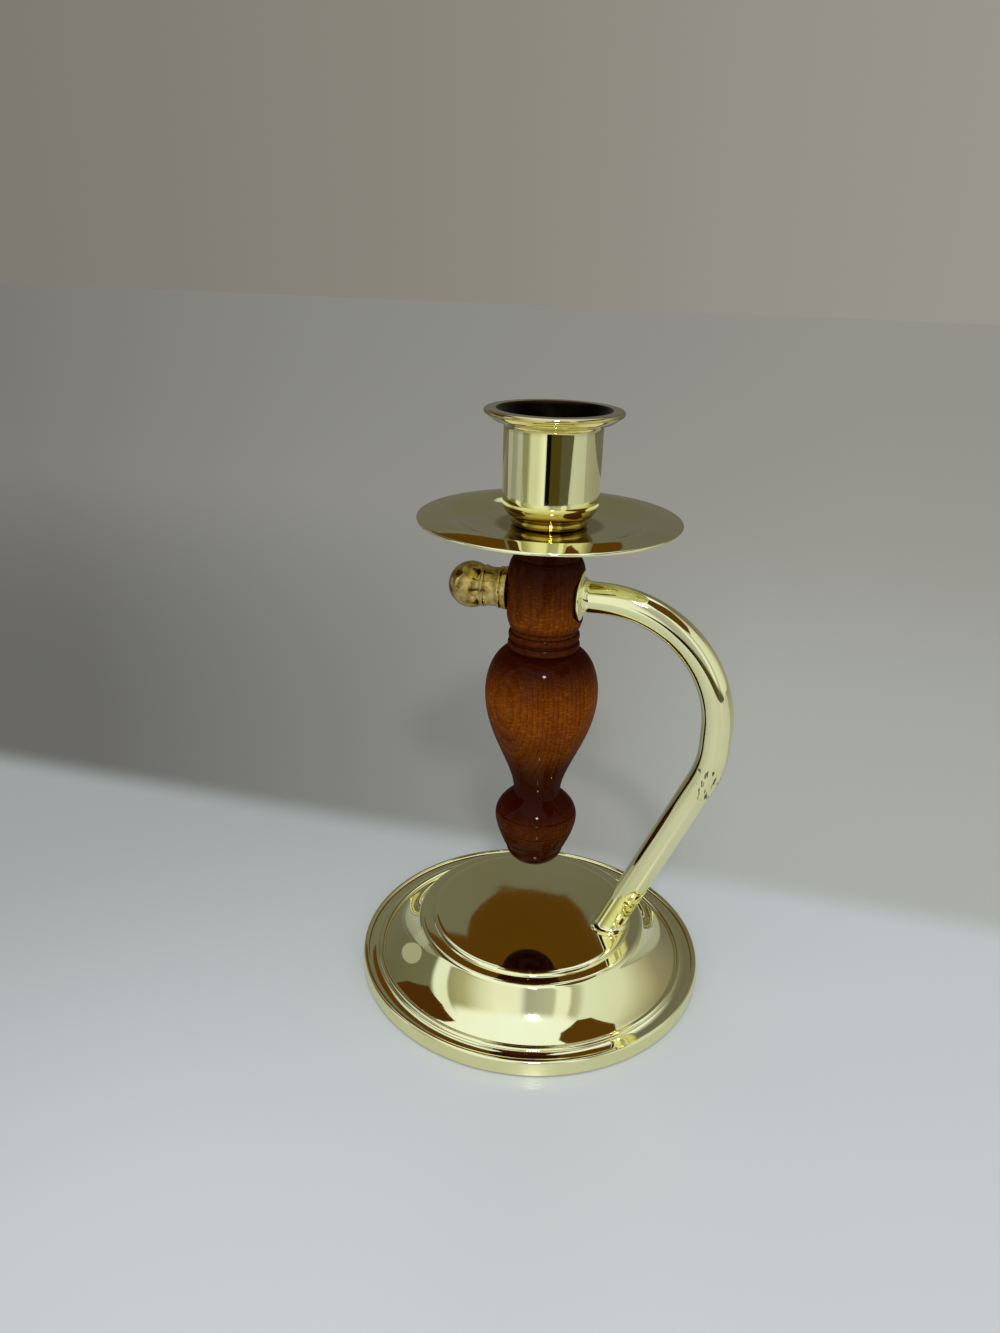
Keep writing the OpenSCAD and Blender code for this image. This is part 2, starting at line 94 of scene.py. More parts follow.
# Heights on the stem count from the pivot's line
stem_rise = 17.6
stem_top_r = 8.6
top_break = 0.3
barrel_r = 10.35
bead_1_r = 9.6
bead_1_span = (-10.5, -12.8)
bead_2_r = 9.75
bead_2_span = (-13.1, -15.6)
notch_r = 9.0
vase_r = 15.5
vase_belly = -28.5
vase_round_r = 7.5
stem_neck_r = 6.65
acorn_r = 11.65
acorn_h = 17.0
acorn_foot_r = 8.65
# Heights on the acorn count from the top of the dome under it
acorn_belly_h = 9.4
acorn_foot_h = 0.3
acorn_scores = (11.8, 6.8, 2.2)
score_depth = 0.22
score_w = 0.17
dome_r = 8.3
dome_h = 6.0
stem_end = -82.8
flat_arm_x = 8.5
flat_arm_room = 0.35
flat_finial_x = 9.6
flat_finial_room = 0.5
cross_bore_r = 3.55
weight_bore_r = 5.15
weight_bore_top = -16.8
screw_hole_r = 2.05
plug_r = 5.1
plug_l = 4.6

pan_under = 134.6
pan_t = 0.8
pan_r = 34.1
pan_flat_r = 18.5
pan_crest_r = 28.1
pan_rise = 2.6
pan_droop = 0.7

cup_base = 135.4
cup_h = 29.0
cup_bore_r = 11.5
cup_r = 12.4
cup_foot_r = 8.4
cup_ring_r = 1.2
cup_bowl_h = 6.6
cup_floor_t = 1.1
lip_r = 17.5
lip_h = 4.5
lip_w = 2.9
lip_roll_r = 0.7
lip_top = cup_base + cup_h


# Lines for the lathe: lists of (radius, height) points

def oval(centre, half_w, half_h, start, end, steps=10):
    """Points on part of an ellipse; 0 degrees is outwards and 90 is up."""
    angles = [math.radians(start + (end - start) * i / steps) for i in range(steps + 1)]
    return [(centre[0] + half_w * math.cos(a), centre[1] + half_h * math.sin(a)) for a in angles]


def arc(centre, radius, start, end, steps=10):
    return oval(centre, radius, radius, start, end, steps)


def bead(radius, edge_r, start, end, steps=12):
    """A half round bead that stands out of edge_r, between two heights."""
    return [
        (edge_r + (radius - edge_r) * r, (start + end) / 2 + (end - start) / 2 * h)
        for r, h in oval((0, 0), 1, 1, -90, 90, steps)]


def base_line():
    """The shell from the disc's centre over ring, shoulder, skirt, bead, cove and band,
    and back inside."""
    shoulder_z = ring_z - shoulder_r
    start_a = math.radians(skirt_start_a)
    normal = Vector((math.cos(start_a), math.sin(start_a)))
    top = Vector((shoulder_x, shoulder_z)) + shoulder_r * normal
    foot = Vector((skirt_foot_r, ledge_z))
    span = top - foot
    hollow_r = -span.length_squared / (2 * span.dot(normal))
    centre = top + hollow_r * normal
    end_a = math.degrees(math.atan2(centre.y - foot.y, centre.x - foot.x))
    cove_x = foot.x + bead_w + cove_w / 2
    return (
        [(0, base_h), (disc_r * 0.5, base_h)]
        + oval((disc_r - disc_roll_w, ring_z), disc_roll_w, base_h - ring_z, 90, 0, 16)
        + arc((shoulder_x, shoulder_z), shoulder_r, 90, skirt_start_a, 16)
        + arc(centre, hollow_r, 180 + skirt_start_a, 180 + end_a, 40)
        + oval((foot.x + bead_w / 2, ledge_z), bead_w / 2, bead_h, 180, 0, 16)
        + oval((cove_x, ledge_z), cove_w / 2, cove_depth, 180, 360, 24)
        + [(cove_x + cove_w / 2, band_h - edge_break), (cove_x + cove_w / 2 + edge_break, band_h)]
        + arc((base_r - band_roll_r, band_h - band_roll_r), band_roll_r, 90, 0, 10)
        + [(base_r, shell_lift), (base_r - shell_t, shell_lift)]
        + [(base_r - shell_t, ledge_z - shell_t), (foot.x, ledge_z - shell_t)]
        + arc(centre, hollow_r + shell_t, 180 + end_a, 180 + skirt_start_a, 16)
        + [(shoulder_x, ring_z - shell_t), (disc_r - shell_t, ring_z - shell_t)]
        + [(disc_r - shell_t, base_h - shell_t), (0, base_h - shell_t)]
    )


def acorn_radius(h):
    """Radius of the acorn at a height from the pivot, with its three scored lines."""
    dome_top = stem_end + dome_h
    belly = dome_top + acorn_belly_h
    if h > belly:
        t = (h - belly) / (acorn_h - acorn_belly_h)
        radius = stem_neck_r + (acorn_r - stem_neck_r) * math.cos(math.pi / 2 * t ** 1.2)
    else:
        t = (belly - h) / (acorn_belly_h - acorn_foot_h)
        radius = acorn_r - (acorn_r - acorn_foot_r) * t ** 1.5
    for line_h in acorn_scores:
        radius -= score_depth * math.exp(-((h - dome_top - line_h) / score_w) ** 2)
    return radius


def stem_line():
    """The turned stem from its top centre down to the pole of its domed end."""
    # The barrel bulges by an oval above and a shorter one below, with a straight stretch between
    upper_w, upper_h, upper_mid = barrel_r - stem_top_r + 0.4, 6.5, 3.5
    lower_w, lower_h, lower_mid = 2.2, 6.2, -4
    upper = (
        [(0, stem_rise), (stem_top_r - top_break, stem_rise), (stem_top_r, stem_rise - top_break)]
        + oval((barrel_r - upper_w, upper_mid), upper_w, upper_h, 80, 0, 22)
        + oval((barrel_r - lower_w, lower_mid), lower_w, lower_h, 0, -65, 20)
        + bead(bead_1_r, notch_r, *bead_1_span)
        + bead(bead_2_r, notch_r, *bead_2_span)
    )
    dome_top = stem_end + dome_h
    acorn_top = dome_top + acorn_h
    neck_h = acorn_top + 1
    vase = oval(
        (vase_r - vase_round_r, vase_belly), vase_round_r, bead_2_span[1] - vase_belly, 75, 0, 30)
    for i in range(1, 41):
        t = 1 - i / 40
        vase.append((
            stem_neck_r + (vase_r - stem_neck_r) * (1 - math.cos(math.pi * t ** 0.85)) / 2,
            neck_h + (vase_belly - neck_h) * t))
    steps = 150
    acorn_foot = dome_top + acorn_foot_h
    heights = [acorn_top + (acorn_foot - acorn_top) * i / steps for i in range(steps + 1)]
    acorn = [(acorn_radius(h), h) for h in heights]
    end = oval((0, dome_top), dome_r, dome_h, 0, -90, 26)
    return [(r, pivot_h + h) for r, h in upper + vase + acorn + end]


def pan_line():
    """The pan from its centre out under the dish, round the edge and back over it."""
    dish = []
    for i in range(17):
        t = i / 16
        dish.append((
            pan_flat_r + (pan_crest_r - pan_flat_r) * t,
            pan_rise * (1 - math.cos(math.pi * t)) / 2))
    for i in range(1, 13):
        t = i / 12
        dish.append((
            pan_crest_r + (pan_r - pan_t / 2 - pan_crest_r) * t,
            pan_rise - pan_droop * (0.75 * t + 0.25 * t * t)))
    edge = arc((pan_r - pan_t / 2, pan_rise - pan_droop + pan_t / 2), pan_t / 2, -60, 60, 10)
    upper = [(r, h + pan_t) for r, h in reversed(dish)]
    return [(r, pan_under + h) for r, h in [(0, 0)] + dish + edge + upper + [(0, pan_t)]]


def cup_line():
    """The cup from its foot's centre up the outside, over the lip and down the bore."""
    bowl_w, flare_h, inner_roll_r = 3, 1.7, 0.5
    line = (
        [(0, 0), (cup_foot_r, 0)]
        + arc((cup_foot_r + 0.3, cup_ring_r), cup_ring_r, -80, 60, 16)
        + oval((cup_r - bowl_w, cup_bowl_h), bowl_w, cup_bowl_h - 2 * cup_ring_r, -80, 0, 20)
        + [(cup_r, cup_h - lip_h)]
    )
    for i in range(1, 15):
        a = math.pi / 2 * i / 14
        line.append((
            cup_r + (lip_r - cup_r) / 2 * (1 - math.cos(a)),
            cup_h - lip_h + flare_h * math.sin(a)))
    line += arc((lip_r - lip_roll_r, cup_h - lip_roll_r), lip_roll_r, -40, 90, 14)
    line += arc((lip_r - lip_w, cup_h - inner_roll_r), inner_roll_r, 90, 150, 8)
    line += [
        (cup_bore_r + 0.3, cup_h - lip_h + 0.7), (cup_bore_r, cup_h - lip_h + 0.2),
        (cup_bore_r, cup_bowl_h), (cup_foot_r - 0.9, cup_floor_t), (0, cup_floor_t)]
    return [(r, cup_base + h) for r, h in line]


def finial_line():
    """The ball nut from the axis at its seat out to the ball's pole."""
    groove_a = math.degrees(math.asin(neck_r / ball_r)) - 180
    neck_l = ball_reach + ball_r * math.cos(math.radians(groove_a))
    ball = [
        (-ball_r * math.sin(math.radians(a)), ball_reach + ball_r * math.cos(math.radians(a)))
        for a in (groove_a - groove_a * i / 40 for i in range(41))]
    # The neck is waisted between two rings
    ring_w, gap, waist_depth = 1.1, 0.2, 0.15
    ring_1_end, ring_2_end = gap + ring_w, neck_l - gap / 2
    ring_2 = ring_2_end - ring_w
    return (
        [(0, 0), (neck_r, 0)]
        + bead(neck_ring_r, neck_r, gap, ring_1_end)
        + bead(neck_r - waist_depth, neck_r, ring_1_end + gap, ring_2 - gap)
        + bead(neck_ring_r, neck_r, ring_2, ring_2_end)
        + ball
    )


# Mesh work

def lathe(line, closed=False, steps=160):
    """Spins a line once round the Z axis and closes it at the poles."""
    bm = bmesh.new()
    verts = [bm.verts.new((r * MM, 0, h * MM)) for r, h in line]
    edges = [bm.edges.new(pair) for pair in zip(verts, verts[1:])]
    if closed:
        edges.append(bm.edges.new((verts[-1], verts[0])))
    bmesh.ops.spin(
        bm, geom=verts + edges, cent=(0, 0, 0), axis=(0, 0, 1),
        angle=math.tau, steps=steps, use_merge=True)
    bmesh.ops.remove_doubles(bm, verts=bm.verts, dist=1e-6)
    bmesh.ops.recalc_face_normals(bm, faces=bm.faces)
    return bm


def lay_along_x(bm, x, outwards):
    """Lays a lathe piece on the pivot's line, its foot at x and its top towards +X or -X."""
    turn = Matrix.Rotation(math.radians(90 * outwards), 4, "Y")
    bmesh.ops.transform(
        bm, verts=bm.verts, matrix=Matrix.Translation((x * MM, 0, pivot_h * MM)) @ turn)


def pull_tube(bm, places, sides=72):
    """Draws a unit circle through a row of placings, one ring of faces between two."""
    made = bmesh.ops.create_circle(bm, segments=sides, radius=1, matrix=places[0], cap_ends=False)
    ring = list({e for v in made["verts"] for e in v.link_edges})
    for before, after in zip(places, places[1:]):
        made = bmesh.ops.extrude_edge_only(bm, edges=ring)["geom"]
        bmesh.ops.transform(
            bm, matrix=after @ before.inverted(),
            verts=[g for g in made if isinstance(g, bmesh.types.BMVert)])
        ring = [g for g in made if isinstance(g, bmesh.types.BMEdge) and g.is_boundary]
    bmesh.ops.holes_fill(bm, edges=[e for e in bm.edges if e.is_boundary], sides=sides + 1)
    bmesh.ops.recalc_face_normals(bm, faces=bm.faces)


def shade(bm, sharp=32):
    """Smooth faces, with edges left sharp where the surface turns further than sharp degrees."""
    for face in bm.faces:
        face.smooth = True
    for edge in bm.edges:
        edge.smooth = not (edge.is_manifold and edge.calc_face_angle() > math.radians(sharp))


def finished(bm, name, material, sharp=32):
    """Makes the shaded object and puts it in the scene."""
    shade(bm, sharp)
    mesh = bpy.data.meshes.new(name)
    bm.to_mesh(mesh)
    bm.free()
    mesh.materials.append(material)
    piece = bpy.data.objects.new(name, mesh)
    scene.collection.objects.link(piece)
    return piece


def bore(piece, cutters):
    """Cuts each cutter's shape out of the piece, as a drill or a face mill does."""
    for cutter in cutters:
        tool = bpy.data.objects.new("cutter", bpy.data.meshes.new("cutter"))
        cutter.to_mesh(tool.data)
        cutter.free()
        scene.collection.objects.link(tool)
        cut = piece.modifiers.new("cut", "BOOLEAN")
        cut.operation = "DIFFERENCE"
        cut.solver = "EXACT"
        cut.object = tool
        bpy.context.view_layer.update()
        cut_piece = piece.evaluated_get(bpy.context.evaluated_depsgraph_get())
        shaped = bpy.data.meshes.new_from_object(cut_piece)
        piece.modifiers.clear()
        old = piece.data
        piece.data = shaped
        bpy.data.meshes.remove(old)
        bpy.data.objects.remove(tool)


def drill(radius, length, place, sides=96):
    """A round cutter along its own Z, its middle at place."""
    bm = bmesh.new()
    bmesh.ops.create_cone(
        bm, cap_ends=True, segments=sides, radius1=radius * MM, radius2=radius * MM,
        depth=length * MM, matrix=place)
    return bm


def along_x(x):
    return Matrix.Translation((x * MM, 0, pivot_h * MM)) @ Matrix.Rotation(math.radians(90), 4, "Y")


def upright(h):
    return Matrix.Translation((0, 0, h * MM))


# Materials: a pattern's scale is in repeats per metre, so 1000 / scale is its size in mm

def colour(code):
    """An sRGB hex code as a linear colour."""
    parts = [int(code[i:i + 2], 16) / 255 for i in (0, 2, 4)]
    linear = [c / 12.92 if c <= 0.04045 else ((c + 0.055) / 1.055) ** 2.4 for c in parts]
    return (*linear, 1.0)


def feed(node, inputs):
    """Sets each input of a node: a socket is linked to it, and anything else is its value."""
    tree = node.id_data
    for key, value in inputs.items():
        if isinstance(value, bpy.types.NodeSocket):
            tree.links.new(value, node.inputs[key])
        else:
            node.inputs[key].default_value = value
    return node


def add(tree, kind, settings=None, inputs=None):
    """Adds a node with its settings and links; a ramp is given as a list of (position, colour)."""
    node = tree.nodes.new("ShaderNode" + kind)
    for key, value in (settings or {}).items():
        if key == "stops":
            elements = node.color_ramp.elements
            while len(elements) < len(value):
                elements.new(0.5)
            for element, (position, tint) in zip(elements, value):
                element.position = position
                element.color = tint if isinstance(tint, tuple) else (tint, tint, tint, 1)
        else:
            setattr(node, key, value)
    return feed(node, inputs or {})


def new_finish(name):
    """A new material; gives the material, its node tree and its shader."""
    material = bpy.data.materials.new(name)
    material.use_nodes = True
    tree = material.node_tree
    return material, tree, tree.nodes["Principled BSDF"]


# Settings that many nodes share: a mix of two colours, at sockets 6 and 7, and a soft step
COLOURS = {"data_type": "RGBA"}
SOFT_STEP = {"interpolation_type": "SMOOTHSTEP"}


def lacquered_brass():
    """Yellow brass, spun or bent, buffed to a mirror and lacquered: pale, slightly green,
    with a slow waviness left by the spinning tool and fine rubbed marks in the lacquer."""
    material, tree, shader = new_finish("lacquered_brass")
    place = add(tree, "TexCoord").outputs["Object"]
    # Hue drifts a little over 20 mm, where the lacquer is thicker
    drift = add(tree, "TexNoise", None, {"Vector": place, "Scale": 50.0, "Detail": 2.0})
    tint = add(tree, "ValToRGB", {"stops": [(0.3, colour("EFE9AE")), (0.7, colour("F4F1BE"))]},
               {"Fac": drift.outputs["Fac"]})
    # In the corner of cup and pan the brass is darker and browner: painted shade where they meet,
    # and a painted brown reflection of the pan in the cup's bowl
    spot = add(tree, "SeparateXYZ", None, {"Vector": place})
    level = add(tree, "CombineXYZ", None, {"X": spot.outputs["X"], "Y": spot.outputs["Y"]})
    from_axis = add(tree, "VectorMath", {"operation": "LENGTH"}, {0: level.outputs["Vector"]})
    near_axis = add(tree, "MapRange", SOFT_STEP, {
        "Value": from_axis.outputs["Value"], "From Min": 12.5 * MM, "From Max": 15.0 * MM,
        "To Min": 1.0, "To Max": 0.0})
    corner_shade_low, corner_shade_high = pan_under + 5.4, pan_under + 7.8
    above_pan = add(tree, "MapRange", SOFT_STEP, {
        "Value": spot.outputs["Z"], "From Min": corner_shade_low * MM, "From Max": corner_shade_high * MM,
        "To Min": 1.0, "To Max": 0.0})
    above_stem = add(tree, "Math", {"operation": "GREATER_THAN"}, {
        0: spot.outputs["Z"], 1: (pan_under - 0.1) * MM})
    corner_shade = add(tree, "Math", {"operation": "MULTIPLY"}, {
        0: near_axis.outputs["Result"], 1: above_pan.outputs["Result"]})
    corner_shade = add(tree, "Math", {"operation": "MULTIPLY"}, {
        0: corner_shade.outputs["Value"], 1: above_stem.outputs["Value"]})
    # Painted shade and reflection in the corner of cup and pan
    tint = add(tree, "Mix", COLOURS, {
        0: corner_shade.outputs["Value"], 6: tint.outputs["Color"], 7: colour("B29C44")})
    # The cup's flare and lip are a little browner
    lip_low, lip_high = lip_top - 5.4, lip_top - 3.8
    lip = add(tree, "MapRange", SOFT_STEP, {
        "Value": spot.outputs["Z"], "From Min": lip_low * MM, "From Max": lip_high * MM})
    tint = add(tree, "Mix", COLOURS, {
        0: lip.outputs["Result"], 6: tint.outputs[2], 7: colour("D3C68A")})
    # Scuffs through the lacquer, gone dark, on the outside of the arm's lower bend: specks
    # under 1 mm wide and up to 3 mm long
    scuff_place = add(tree, "Mapping", None, {
        "Vector": place, "Rotation": (0.0, 0.45, 0.0), "Scale": (1300.0, 1300.0, 330.0)})
    scuffs = add(tree, "TexNoise", None, {
        "Vector": scuff_place.outputs["Vector"], "Scale": 1.0, "Detail": 2.0})
    worn = add(tree, "MapRange", None, {
        "Value": scuffs.outputs["Fac"], "From Min": 0.58, "From Max": 0.63,
        "To Min": 0.0, "To Max": 0.9})
    scuffed_h, scuffed_half_h, scuffed_x = 68.0, 5.5, 44.5
    at_height = add(tree, "Math", {"operation": "COMPARE"}, {
        0: spot.outputs["Z"], 1: scuffed_h * MM, 2: scuffed_half_h * MM})
    far_out = add(tree, "Math", {"operation": "GREATER_THAN"}, {
        0: spot.outputs["X"], 1: scuffed_x * MM})
    worn_share = add(tree, "Math", {"operation": "MULTIPLY"}, {
        0: worn.outputs["Result"], 1: at_height.outputs["Value"]})
    worn_share = add(tree, "Math", {"operation": "MULTIPLY"}, {
        0: worn_share.outputs["Value"], 1: far_out.outputs["Value"]})
    tint = add(tree, "Mix", COLOURS, {
        0: worn_share.outputs["Value"], 6: tint.outputs[2], 7: colour("3A3A1C")})
    # Rubbed marks: a fifth of a millimetre wide, drawn 1 mm wide so that they show
    rubbed = add(tree, "TexNoise", None, {
        "Vector": place, "Scale": 900.0, "Detail": 3.0, "Roughness": 0.7})
    dull = add(tree, "MapRange", None, {
        "Value": rubbed.outputs["Fac"], "From Min": 0.35, "From Max": 0.75,
        "To Min": 0.03, "To Max": 0.07})
    # Waviness of the sheet: hills 18 mm apart and under a tenth of a millimetre high
    waves = add(tree, "TexNoise", None, {"Vector": place, "Scale": 55.0, "Detail": 1.0})
    wavy = add(tree, "Bump", None, {
        "Strength": 0.6, "Distance": 0.12 * MM, "Height": waves.outputs["Fac"]})
    scratched = add(tree, "Bump", None, {
        "Strength": 0.05, "Distance": 0.01 * MM, "Height": rubbed.outputs["Fac"],
        "Normal": wavy.outputs["Normal"]})
    feed(shader, {
        "Base Color": tint.outputs[2], "Metallic": 1.0, "Roughness": dull.outputs["Result"],
        "Normal": scratched.outputs["Normal"], "Coat Weight": 0.15, "Coat Roughness": 0.03})
    return material


def aged_brass():
    """Solid brass, turned and polished long ago: browner than the lacquered sheet, with
    dark tarnish in patches and a duller, mottled shine."""
    material, tree, shader = new_finish("aged_brass")
    place = add(tree, "TexCoord").outputs["Object"]
    # Tarnish in patches some 3 mm wide
    patches = add(tree, "TexNoise", None, {
        "Vector": place, "Scale": 330.0, "Detail": 4.0, "Roughness": 0.6})
    tint = add(tree, "ValToRGB", {"stops": [
        (0.3, colour("6E5526")), (0.5, colour("BA9E5A")), (0.72, colour("DCC68E"))]},
        {"Fac": patches.outputs["Fac"]})
    dull = add(tree, "MapRange", None, {
        "Value": patches.outputs["Fac"], "From Min": 0.3, "From Max": 0.7,
        "To Min": 0.20, "To Max": 0.07})
    # Tool lines 0.3 mm apart round the pivot's line
    lines = add(tree, "TexWave", {"wave_type": "BANDS", "bands_direction": "X"},
                {"Vector": place, "Scale": 1050.0, "Distortion": 0.6})
    grain = add(tree, "Bump", None, {
        "Strength": 0.12, "Distance": 0.01 * MM, "Height": lines.outputs["Fac"]})
    feed(shader, {
        "Base Color": tint.outputs["Color"], "Metallic": 1.0, "Roughness": dull.outputs["Result"],
        "Normal": grain.outputs["Normal"]})
    return material


def lacquered_hardwood():
    """Turned beech, stained dark red-brown and gloss lacquered: growth rings cut into ovals on
    the bulges, short dark pores along the grain, and darker stain where end grain shows."""
    material, tree, shader = new_finish("stained_hardwood")
    coords = add(tree, "TexCoord")
    place = coords.outputs["Object"]
    # The blank's pith lies 31 mm from the stem's axis, in front and to the left of it, and
    # leans a little, so the bulges show ovals
    in_mm = 1 / MM
    grain_place = add(tree, "Mapping", None, {
        "Vector": place, "Location": (9.0, 30.0, 0.0),
        "Rotation": (0.05, 0.05, 0.0), "Scale": (in_mm, in_mm, in_mm)})
    # The wave's period is 2 pi / (20 x scale)
    ring_step = 1.3
    rings = add(tree, "TexWave", {
        "wave_type": "RINGS", "rings_direction": "Z", "wave_profile": "SAW"}, {
        "Vector": grain_place.outputs["Vector"], "Scale": math.tau / 20 / ring_step,
        "Distortion": 3.4, "Detail": 3.0, "Detail Scale": 0.12, "Detail Roughness": 0.6})
    ring_tint = add(tree, "ValToRGB", {"stops": [
        (0.0, colour("7A3C02")), (0.5, colour("733801")), (0.85, colour("622B01")),
        (1.0, colour("703501"))]}, {"Fac": rings.outputs["Fac"]})
    # Pores: dark flecks 0.3 mm wide and some 3 mm long, drawn as coarse as they show
    stretch = add(tree, "Mapping", None, {"Vector": place, "Scale": (3300.0, 3300.0, 300.0)})
    flecks = add(tree, "TexNoise", None, {
        "Vector": stretch.outputs["Vector"], "Scale": 1.0, "Detail": 2.0})
    fleck_share = add(tree, "MapRange", None, {
        "Value": flecks.outputs["Fac"], "From Min": 0.48, "From Max": 0.68,
        "To Min": 0.0, "To Max": 0.6})
    fleck_tint = add(tree, "Mix", COLOURS, {
        0: fleck_share.outputs["Result"], 6: ring_tint.outputs["Color"], 7: colour("431802")})
    # Rays: golden flecks 0.4 mm high and 1.5 mm wide, drawn as coarse as they show
    flat = add(tree, "Mapping", None, {"Vector": place, "Scale": (650.0, 650.0, 2500.0)})
    rays = add(tree, "TexNoise", None, {
        "Vector": flat.outputs["Vector"], "Scale": 1.0, "Detail": 2.0})
    ray_share = add(tree, "MapRange", None, {
        "Value": rays.outputs["Fac"], "From Min": 0.52, "From Max": 0.70,
        "To Min": 0.0, "To Max": 0.6})
    ray_tint = add(tree, "Mix", COLOURS, {
        0: ray_share.outputs["Result"], 6: fleck_tint.outputs[2], 7: colour("9A570C")})
    # Blotches of stain some 12 mm across
    blotches = add(tree, "TexNoise", None, {"Vector": place, "Scale": 85.0, "Detail": 3.0})
    blotch_share = add(tree, "MapRange", None, {
        "Value": blotches.outputs["Fac"], "From Min": 0.48, "From Max": 0.72,
        "To Min": 0.0, "To Max": 0.6})
    blotch_tint = add(tree, "Mix", COLOURS, {
        0: blotch_share.outputs["Result"], 6: ray_tint.outputs[2], 7: colour("481702")})
    # Stain is drawn in where the surface cuts across the grain
    tilt = add(tree, "SeparateXYZ", None, {"Vector": coords.outputs["Normal"]})
    steep = add(tree, "Math", {"operation": "ABSOLUTE"}, {0: tilt.outputs["Z"]})
    end_share = add(tree, "MapRange", None, {
        "Value": steep.outputs["Value"], "From Min": 0.2, "From Max": 0.8,
        "To Min": 0.0, "To Max": 0.85})
    end_tint = add(tree, "Mix", COLOURS, {
        0: end_share.outputs["Result"], 6: blotch_tint.outputs[2], 7: colour("240701")})
    # Share of dark stain and painted shade by height in mm: more on acorn, necks, beads and the
    # barrel's top than on the vase. It is partly the stain and partly painted shade, darkest under
    # the pan, on the vase's shoulder under the beads and at the necks
    stain_and_shade_by_height = [
        (34, 1.0), (42, 0.85), (48, 0.72), (54, 0.88), (60, 0.95), (67, 0.8), (74, 0.18),
        (89, 0.05), (94, 0.45), (99, 0.85), (106, 0.75), (110, 0.2), (116, 0.45),
        (124, 0.9), (134, 0.95)]
    low_h, high_h = stain_and_shade_by_height[0][0], stain_and_shade_by_height[-1][0]
    height = add(tree, "SeparateXYZ", None, {"Vector": place})
    level = add(tree, "MapRange", None, {
        "Value": height.outputs["Z"], "From Min": low_h * MM, "From Max": high_h * MM,
        "To Min": 0.0, "To Max": 1.0})
    stain_and_shade_share = add(tree, "ValToRGB", {"stops": [
        ((h - low_h) / (high_h - low_h), share) for h, share in stain_and_shade_by_height]},
        {"Fac": level.outputs["Result"]})
    # Painted shade by height, mixed in with the dark stain
    stained_and_shaded = add(tree, "Mix", COLOURS, {
        0: stain_and_shade_share.outputs["Color"], 6: end_tint.outputs[2], 7: colour("240300")})
    pores = add(tree, "Bump", None, {
        "Strength": 0.15, "Distance": 0.02 * MM, "Height": flecks.outputs["Fac"]})
    feed(shader, {
        "Base Color": stained_and_shaded.outputs[2], "Roughness": 0.5, "Specular IOR Level": 0.0,
        "Normal": pores.outputs["Normal"],
        "Coat Weight": 0.11, "Coat Roughness": 0.06, "Coat IOR": 1.5})
    return material


def dark_cup_inside():
    """The inside of the cup: dark brown brass near the lip's top, nearly black down in the bore and
    on its floor.
    """
    material, tree, shader = new_finish("dark_cup_inside")
    place = add(tree, "TexCoord").outputs["Object"]
    # Dark patches some 4 mm wide, lighter at the lip's top
    patches = add(tree, "TexNoise", None, {"Vector": place, "Scale": 250.0, "Detail": 3.0})
    height = add(tree, "SeparateXYZ", None, {"Vector": place})
    near_top = add(tree, "MapRange", SOFT_STEP, {
        "Value": height.outputs["Z"],
        "From Min": (lip_top - 0.8) * MM, "From Max": (lip_top + 0.4) * MM})
    dark = add(tree, "ValToRGB", {"stops": [(0.35, colour("040302")), (0.7, colour("0C0804"))]},
               {"Fac": patches.outputs["Fac"]})
    tint = add(tree, "Mix", COLOURS, {
        0: near_top.outputs["Result"], 6: dark.outputs["Color"], 7: colour("3A2C0E")})
    feed(shader, {"Base Color": tint.outputs[2], "Metallic": 1.0, "Roughness": 0.35})
    return material


def grained(name, dark, light, patch_mm, rough, metallic, bump_mm):
    """A plain workshop finish: two near colours in patches, with a fine bump."""
    material, tree, shader = new_finish(name)
    place = add(tree, "TexCoord").outputs["Object"]
    patches = add(tree, "TexNoise", None, {
        "Vector": place, "Scale": 1000.0 / patch_mm, "Detail": 4.0, "Roughness": 0.6})
    tint = add(tree, "ValToRGB", {"stops": [(0.35, colour(dark)), (0.65, colour(light))]},
               {"Fac": patches.outputs["Fac"]})
    dull = add(tree, "MapRange", None, {
        "Value": patches.outputs["Fac"], "To Min": rough * 0.8, "To Max": rough * 1.2})
    bump = add(tree, "Bump", None, {
        "Strength": 0.8, "Distance": bump_mm * MM, "Height": patches.outputs["Fac"]})
    feed(shader, {
        "Base Color": tint.outputs["Color"], "Metallic": metallic,
        "Roughness": dull.outputs["Result"], "Normal": bump.outputs["Normal"]})
    return material


brass = lacquered_brass()
old_brass = aged_brass()
wood = lacquered_hardwood()
cup_inside = dark_cup_inside()
# Zinc plated steel: cool, bright and slightly cloudy
zinc_steel = grained("zinc_plated_steel", "A9ABAD", "C9CCCE", 1.5, 0.3, 1.0, 0.004)
# Cast iron as it comes from the sand: dark grey, matt and grainy
cast_iron = grained("sand_cast_iron", "2E2E30", "4A4A4C", 0.8, 0.7, 0.6, 0.08)
# Lead rod: dull blue-grey
lead = grained("cast_lead", "4E5054", "6E7176", 2.0, 0.5, 0.8, 0.02)
# Hardboard: pressed brown fibres, matt
hardboard = grained("pressed_hardboard", "5A3F28", "7E5C3C", 0.5, 0.65, 0.0, 0.03)
# Wool felt: matt dark green fuzz in tufts a third of a millimetre wide
felt = grained("wool_felt", "12281B", "2C4B38", 0.35, 0.95, 0.0, 0.12)
# Vulcanised fibre: dark red-brown and horn-like
fibre = grained("vulcanised_fibre", "2C120C", "44201A", 0.7, 0.5, 0.0, 0.01)


# Pieces

def spun_base():
    return finished(lathe(base_line(), steps=224), "spun_base", brass, sharp=40)


